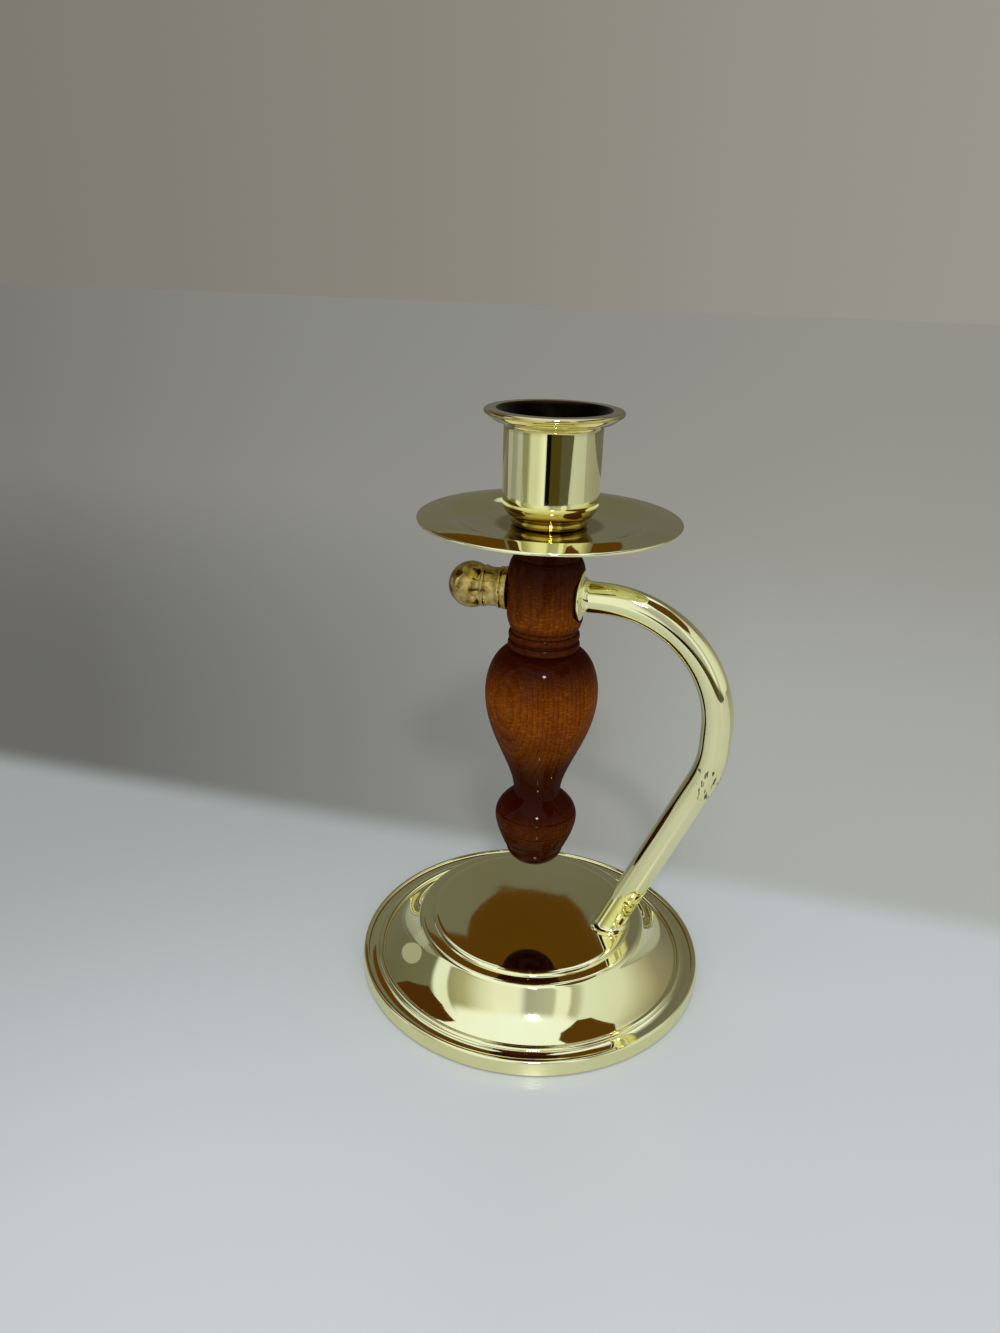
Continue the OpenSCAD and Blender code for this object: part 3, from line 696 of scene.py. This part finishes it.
def arm_places():
    """Where the rod's outline stands along its way, from inside the flange to the disc."""
    back_round = 0.15
    flare_points = [
        (flange_x + pin_grip, pin_r + bore_room), (flange_x, pin_r + bore_room),
        (flange_x, flange_r - back_round), (flange_x + back_round, flange_r),
        (flange_x + flange_t - edge_break, flange_r)]
    for i in range(13):
        a = math.radians(90 * i / 12)
        flare_points.append((
            flange_x + flange_t + flare_l * (1 - math.cos(a)),
            arm_r + (flange_r - 0.1 - arm_r) * (1 - math.sin(a))))
    places = [ring_place(x, pivot_h, 0, r) for x, r in flare_points]
    bend_r = arm_reach - bend_x
    corner_h = pivot_h - corner_drop
    lean = math.degrees(math.atan((arm_reach - foot_x) / (corner_h - base_h)))
    half = lower_bend_r * math.tan(math.radians(lean / 2))
    for i in range(41):
        a = 90 * i / 40
        places.append(ring_place(
            bend_x + bend_r * math.sin(math.radians(a)),
            pivot_h - bend_r + bend_r * math.cos(math.radians(a)), a, arm_r))
    for i in range(15):
        a = lean * i / 14
        places.append(ring_place(
            arm_reach - lower_bend_r + lower_bend_r * math.cos(math.radians(a)),
            corner_h + half - lower_bend_r * math.sin(math.radians(a)), 90 + a, arm_r))
    # The foot: level rings that widen into the flare on the disc
    steep = math.tan(math.radians(lean))
    stretch = 1 / math.cos(math.radians(lean))
    above_flare, lengthwise = [12.0, 6.0, 3.2], 0.8
    heights = above_flare + [foot_flare_h * (1 - i / 10) for i in range(11)]
    for h in heights:
        a = 0
        if h > flange_t:
            a = math.acos(max(0.0, 1 - (h - flange_t) / (foot_flare_h - flange_t)))
        widen = (foot_r - arm_r) * (1 - math.sin(a)) if h < foot_flare_h else 0
        place = ring_place(foot_x + h * steep, base_h + h, 90, 1)
        places.append(place @ Matrix.Diagonal((
            arm_r * stretch + widen * lengthwise, arm_r + widen, 1, 1)))
    return places


def ring_place(x, h, heading, radius):
    """A ring of the arm: its middle, the angle its way has turned down from +X, and its radius."""
    a = math.radians(heading)
    way = Vector((math.cos(a), 0, -math.sin(a)))
    side = Vector((0, 1, 0))
    across = side.cross(way)
    place = Matrix((across, side, way)).transposed().to_4x4()
    place.translation = Vector((x, 0, h))
    return place @ Matrix.Diagonal((radius, radius, 1, 1))


def bent_arm():
    bm = bmesh.new()
    pull_tube(bm, arm_places(), sides=80)
    bmesh.ops.scale(bm, vec=(MM, MM, MM), verts=bm.verts)
    return finished(bm, "bent_arm", brass, sharp=50)


def ball_finial():
    bm = lathe(finial_line(), steps=112)
    lay_along_x(bm, -finial_x, -1)
    return finished(bm, "ball_finial", old_brass, sharp=50)


def finial_ring():
    """The cupped washer beside the ball nut, its two rims broken with a file."""
    hole, rim, thick, filed = pin_r + bore_room, washer_r, finial_x - finial_washer_x, 0.2
    bm = lathe([
        (washer_recess_r, 0), (rim - filed, 0), (rim, filed), (rim, thick - filed),
        (rim - filed, thick), (hole, thick), (hole, thrust_t), (washer_recess_r, thrust_t)],
        closed=True, steps=96)
    lay_along_x(bm, -finial_washer_x, -1)
    return finished(bm, "finial_ring", old_brass)


def turned_stem():
    """The stem with its flats for flange and finial, and its bores for pin, weight and screw."""
    piece = finished(lathe(stem_line(), steps=176), "turned_stem", wood)
    mill_l, pin_drill_l, weight_drill_l, screw_drill_l = 40, 60, 100, 24
    weight_top = pivot_h + weight_bore_top
    bore(piece, [
        drill(flange_r + flat_arm_room, mill_l, along_x(flat_arm_x + mill_l / 2)),
        drill(washer_r + flat_finial_room, mill_l, along_x(-flat_finial_x - mill_l / 2)),
        drill(cross_bore_r, pin_drill_l, along_x(0)),
        drill(weight_bore_r, weight_drill_l, upright(weight_top - weight_drill_l / 2)),
        drill(screw_hole_r, screw_drill_l, upright(pan_under - 0.2)),
    ])
    bm = bmesh.new()
    bm.from_mesh(piece.data)
    bmesh.ops.remove_doubles(bm, verts=bm.verts, dist=1e-6)
    shade(bm)
    bm.to_mesh(piece.data)
    bm.free()
    return piece


def stem_end_plug():
    """The wooden plug that closes the weight's bore, turned flush with the stem's dome."""
    low_end = pivot_h + stem_end
    dome = [(r, h) for r, h in stem_line() if r < plug_r and h < low_end + dome_h]
    rim_h = low_end + dome_h - dome_h * math.sqrt(1 - (plug_r / dome_r) ** 2)
    line = [(0, low_end + plug_l), (plug_r, low_end + plug_l), (plug_r, rim_h)] + dome
    return finished(lathe(line, steps=96), "stem_end_plug", wood)


def dished_pan():
    return finished(lathe(pan_line(), steps=208), "dished_pan", brass, sharp=40)


def flared_cup():
    """The cup, bright outside and on the lip, and dark on its floor and down its bore."""
    piece = finished(lathe(cup_line(), steps=176), "flared_cup", brass, sharp=40)
    piece.data.materials.append(cup_inside)
    for face in piece.data.polygons:
        place, way = face.center / MM, face.normal
        out = place.xy.normalized().dot(way.xy)
        on_floor = way.z > 0.9 and place.z < cup_base + 2
        in_bore = out < -0.15 and place.z > cup_base + 1
        face.material_index = 1 if on_floor or in_bore else 0
    return piece


def put(piece, body, slot, *nodes):
    """Rides a piece on its body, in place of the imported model's nodes."""
    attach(piece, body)
    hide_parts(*nodes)


put(spun_base(), "stand", "brass", "base_shell")
put(bent_arm(), "stand", "brass", "arm")
put(ball_finial(), "stand", "aged_brass", "finial")
put(finial_ring(), "stand", "aged_brass", "finial_washer")
put(turned_stem(), "stem", "red_wood", "stem")
put(stem_end_plug(), "stem", "red_wood", "stem_plug")
put(dished_pan(), "stem", "brass", "drip_pan")
put(flared_cup(), "stem", "brass", "candle_cup")

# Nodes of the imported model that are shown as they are, with their finishes
node_finishes = {
    "base_weight": cast_iron, "base_plate": hardboard, "felt_pad": felt,
    "arm_screw": zinc_steel, "arm_washer": zinc_steel, "pivot_pin": zinc_steel,
    "thrust_washer_arm": fibre, "thrust_washer_finial": fibre,
    "pivot_bushing": brass, "stem_weight": lead,
    "cup_washer": zinc_steel, "cup_screw": zinc_steel,
}
for node_name, finish in node_finishes.items():
    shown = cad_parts[node_name]
    if not shown.material_slots:
        shown.data.materials.append(finish)
    for material_slot in shown.material_slots:
        material_slot.material = finish


# Stage: a pale table, a grey room and soft light

def sheet_card(name, corner_points, material):
    """A flat card through its corners, which is no part of the object."""
    bm = bmesh.new()
    bm.faces.new([bm.verts.new(Vector(p) * MM) for p in corner_points])
    mesh = bpy.data.meshes.new(name)
    bm.to_mesh(mesh)
    bm.free()
    mesh.materials.append(material)
    card = bpy.data.objects.new(name, mesh)
    scene.collection.objects.link(card)
    return card


def table_finish():
    """White table top with a faint gloss, which turns to the matt grey of the wall behind the
    object."""
    material, tree, shader = new_finish("pale_table")
    place = add(tree, "SeparateXYZ", None, {"Vector": add(tree, "TexCoord").outputs["Object"]})
    # Light falls off towards the left and the back
    across = add(tree, "Math", {"operation": "SUBTRACT"}, {
        0: place.outputs["X"], 1: place.outputs["Y"]})
    light = add(tree, "MapRange", SOFT_STEP, {
        "Value": across.outputs["Value"], "From Min": -200 * MM, "From Max": 60 * MM})
    top = add(tree, "Mix", COLOURS, {
        0: light.outputs["Result"], 6: colour("A1A4A2"), 7: colour("BCC0BF")})
    feed(shader, {
        "Base Color": top.outputs[2], "Roughness": 0.28, "Specular IOR Level": 0.35})
    behind = add(tree, "MapRange", SOFT_STEP, {
        "Value": place.outputs["Y"], "From Min": 46 * MM, "From Max": 66 * MM})
    # The wall is lightest at the right and darkest low down at the left, painted light and shade:
    # its tones follow lines that fan out from one place on the floor
    fan_x, fan_y = 52, -244
    aside = add(tree, "Math", {"operation": "SUBTRACT"}, {0: place.outputs["X"], 1: fan_x * MM})
    depth = add(tree, "Math", {"operation": "SUBTRACT"}, {0: place.outputs["Y"], 1: fan_y * MM})
    side = add(tree, "Math", {"operation": "DIVIDE"}, {
        0: aside.outputs["Value"], 1: depth.outputs["Value"]})
    to_right = add(tree, "MapRange", None, {
        "Value": side.outputs["Value"], "From Min": -0.9, "From Max": 0.3})
    low_wall = add(tree, "ValToRGB", {"stops": [
        (0.08, colour("6A6862")), (0.38, colour("807F79")), (0.62, colour("95948C")),
        (0.76, colour("A8A8A1"))]}, {"Fac": to_right.outputs["Result"]})
    high_wall = add(tree, "ValToRGB", {"stops": [
        (0.04, colour("85827A")), (0.35, colour("94918A")), (0.55, colour("99968D")),
        (0.83, colour("A09D93"))]}, {"Fac": to_right.outputs["Result"]})
    height = add(tree, "MapRange", SOFT_STEP, {
        "Value": place.outputs["Y"], "From Min": 80 * MM, "From Max": 600 * MM})
    wall = add(tree, "Mix", COLOURS, {
        0: height.outputs["Result"], 6: low_wall.outputs["Color"], 7: high_wall.outputs["Color"]})
    matt = add(tree, "BsdfDiffuse", None, {"Color": wall.outputs[2]})
    both = add(tree, "MixShader", None, {
        0: behind.outputs["Result"], 1: shader.outputs["BSDF"], 2: matt.outputs["BSDF"]})
    feed(tree.nodes["Material Output"], {"Surface": both.outputs["Shader"]})
    return material


def room_card(name, corner_points, code):
    """A card that only polished surfaces see: it gives them something dark or warm to mirror."""
    material = bpy.data.materials.new(name)
    material.use_nodes = True
    tree = material.node_tree
    tree.nodes.clear()
    light = add(tree, "Emission", None, {"Color": colour(code), "Strength": 1.0})
    add(tree, "OutputMaterial", None, {"Surface": light.outputs["Emission"]})
    card = sheet_card(name, corner_points, material)
    card.visible_camera = False
    card.visible_diffuse = False
    card.visible_shadow = False
    card.visible_transmission = False


def towards(around, up, far):
    """The point far from the base's middle, around degrees from -Y towards +X and up degrees
    above the level."""
    a, b = math.radians(around), math.radians(up)
    way = Vector((math.cos(b) * math.sin(a), -math.cos(b) * math.cos(a), math.sin(b)))
    return Vector((0, 0, 10)) + far * way


# The table, whose front part polished surfaces don't see, so they mirror the room there
table = table_finish()
edge_y, far = -330, 4000
sheet_card("table", [
    (-far, edge_y, 0), (far, edge_y, 0), (far, far, 0), (-far, far, 0)], table)
front = sheet_card("table_front", [
    (-far, -far, 0), (far, -far, 0), (far, edge_y, 0), (-far, edge_y, 0)], table)
front.visible_glossy = False

# Brown boards, a grey wall and a pale round that the polished brass mirrors
back_y, pan_wall_y, board_h = 330, 45, 257
room_card("back_board", [(x, back_y, h) for x, h in (
    (-94, 249), (-44, 247), (-28, 262), (-10, 292), (0, 325), (6, 430), (-280, 430),
    (-250, 308), (-121, 304), (-117, 284))], "583A0C")
room_card("wall_behind_pan", [(x, pan_wall_y, h) for x, h in (
    (-140, 139), (120, 139), (120, 168), (-140, 168))], "6C6A63")
room_card("left_board", [towards(around, up, 500) for around, up in (
    (-116, 40), (-97, 52), (-80, 60), (-64, 59), (-66, 45), (-76, 31), (-97, 33))], "4E2E0C")
turns = [math.tau * i / 24 for i in range(24)]
room_card("pale_spot", [
    towards(-101 + 10 * math.cos(a), 9 + 10 * math.sin(a), 490) for a in turns], "A8AAA4")
room_card("right_board", [(x, y, board_h) for x, y in (
    (104, -92), (78, -56), (78, 44), (116, 66), (196, 22), (234, -88), (196, -124))], "5A3A0E")

world = bpy.data.worlds.new("room")
scene.world = world
world.use_nodes = True
room = world.node_tree
room.nodes.clear()
facing = add(room, "SeparateXYZ", None, {"Vector": add(room, "TexCoord").outputs["Generated"]})
to_front = add(room, "Math", {"operation": "MULTIPLY"}, {0: facing.outputs["Y"], 1: -1.0})
around = add(room, "Math", {"operation": "ARCTAN2"}, {
    0: facing.outputs["X"], 1: to_front.outputs["Value"]})
turn_share = add(room, "MapRange", None, {
    "Value": around.outputs["Value"], "From Min": -math.pi, "From Max": math.pi})


def round_the_room(stops):
    """A ramp of colours by direction, given in degrees from -Y towards +X."""
    return add(room, "ValToRGB", {"stops": [
        ((a + 180) / 360, colour(code)) for a, code in stops]},
        {"Fac": turn_share.outputs["Result"]}).outputs["Color"]


# What polished surfaces see: soft boxes and the gaps between them, walls and a bright ceiling
level_view = round_the_room([
    (-180, "6C6A63"), (-150, "74736C"), (-120, "68675E"), (-105, "6C6B60"), (-78, "70705F"),
    (-74, "EAF4FC"), (-62, "EAF4FC"), (-60, "9A9A88"), (-45, "B4B4A4"), (-30, "DEE6E4"),
    (-15, "F4FAFE"), (5, "F0F6FC"), (12, "A8ACAE"), (36, "BCC0BE"), (39, "F0F8FC"),
    (49, "F0F8FC"), (52, "B4B6AC"), (57, "BABCB2"), (64, "E0EAEA"), (100, "DAE0DA"),
    (120, "B6B4A6"), (136, "948F82"), (160, "76746A"), (180, "6C6A63")])
low_view = round_the_room([
    (-180, "7E7C72"), (-150, "74726A"), (-118, "605E52"), (-95, "666458"), (-86, "84866F"),
    (-46, "8E907A"), (-38, "D6DAD0"), (-22, "D6DAD0"), (-8, "F4F8F6"), (-3, "F4F8F6"),
    (-2, "0A0806"), (8, "0A0806"), (9, "4A421E"), (30, "4A421E"), (34, "585648"),
    (62, "585648"), (63, "0C0C08"), (67, "0C0C08"), (68, "C6C8B8"), (120, "C6C8B8"),
    (135, "8A887E"), (180, "7E7C72")])
above_share = add(room, "MapRange", SOFT_STEP, {
    "Value": facing.outputs["Z"], "From Min": -0.12, "From Max": -0.02})
walls = add(room, "Mix", COLOURS, {0: above_share.outputs["Result"], 6: low_view, 7: level_view})
# The ceiling starts higher over the boards at both sides
side_rise = round_the_room([
    (-130, "000000"), (-112, "5C5C5C"), (-66, "4C4C4C"), (-56, "000000"),
    (50, "000000"), (76, "686868"), (118, "686868"), (136, "000000")])
raised = add(room, "Math", {"operation": "SUBTRACT"}, {0: facing.outputs["Z"], 1: side_rise})
ceiling_share = add(room, "MapRange", SOFT_STEP, {
    "Value": raised.outputs["Value"], "From Min": 0.66, "From Max": 0.80})
ceiling_gain = 1.3
cool_white = tuple(ceiling_gain * c for c in colour("DFE8F8"))
mirrored = add(room, "Mix", COLOURS, {
    0: ceiling_share.outputs["Result"], 6: walls.outputs[2], 7: cool_white})
# What lights dull surfaces: much from the front and the ceiling, less from the wall behind
lean = add(room, "Math", {"operation": "MULTIPLY_ADD"}, {
    0: facing.outputs["Z"], 1: 1.2, 2: to_front.outputs["Value"]})
bright_share = add(room, "MapRange", SOFT_STEP, {
    "Value": lean.outputs["Value"], "From Min": -0.5, "From Max": 0.4})
soft_light = add(room, "Mix", COLOURS, {
    0: bright_share.outputs["Result"], 6: colour("6E7074"), 7: colour("F4F8FC")})
rays = add(room, "LightPath")
mirrors = add(room, "Math", {"operation": "MAXIMUM"}, {
    0: rays.outputs["Is Glossy Ray"], 1: rays.outputs["Is Transmission Ray"]})
lit = add(room, "Mix", COLOURS, {
    0: mirrors.outputs["Value"], 6: soft_light.outputs[2], 7: mirrored.outputs[2]})
# What shows behind the object
backdrop = round_the_room([
    (-180, "96938A"), (-165, "8C887E"), (-142, "7E7B72"), (-90, "7E7B72"),
    (90, "A09D93"), (150, "A09D93"), (180, "96938A")])
shown = add(room, "Mix", COLOURS, {
    0: rays.outputs["Is Camera Ray"], 6: lit.outputs[2], 7: backdrop})
sky = add(room, "Background", None, {"Color": shown.outputs[2], "Strength": 1.0})
add(room, "OutputWorld", None, {"Surface": sky.outputs["Background"]})


# A small soft lamp over the camera gives the lacquer its white highlights
lamp_place, lamp_aim, lamp_size, lamp_watts = Vector((180, -560, 640)), Vector((0, 0, 80)), 88, 2.6
lamp_data = bpy.data.lights.new("front_lamp", "AREA")
lamp_data.shape = "DISK"
lamp_data.size = lamp_size * MM
lamp_data.energy = lamp_watts
lamp = bpy.data.objects.new("front_lamp", lamp_data)
lamp.location = lamp_place * MM
lamp.rotation_euler = (lamp_aim - lamp_place).to_track_quat("-Z", "Y").to_euler()
scene.collection.objects.link(lamp)

# The camera stands at the photograph's place: its lens in mm for a 36 mm frame, its place,
# and how far it turns left, looks down and rolls, in degrees
lens, frame_w = 26.777, 36.0
camera_place = Vector((51.85, -243.95, 199.39))
turn_left, look_down, roll = 14.66, 22.67, 1.67
camera = bpy.data.objects.new("camera", bpy.data.cameras.new("camera"))
camera.data.lens = lens
camera.data.sensor_width = frame_w
camera.data.clip_start = 0.01
camera.data.dof.use_dof = False
camera.matrix_world = (
    Matrix.Translation(camera_place * MM)
    @ Matrix.Rotation(math.radians(turn_left), 4, "Z")
    @ Matrix.Rotation(math.radians(90 - look_down), 4, "X")
    @ Matrix.Rotation(math.radians(roll), 4, "Z"))
scene.collection.objects.link(camera)
scene.camera = camera

scene.view_settings.view_transform = "Standard"
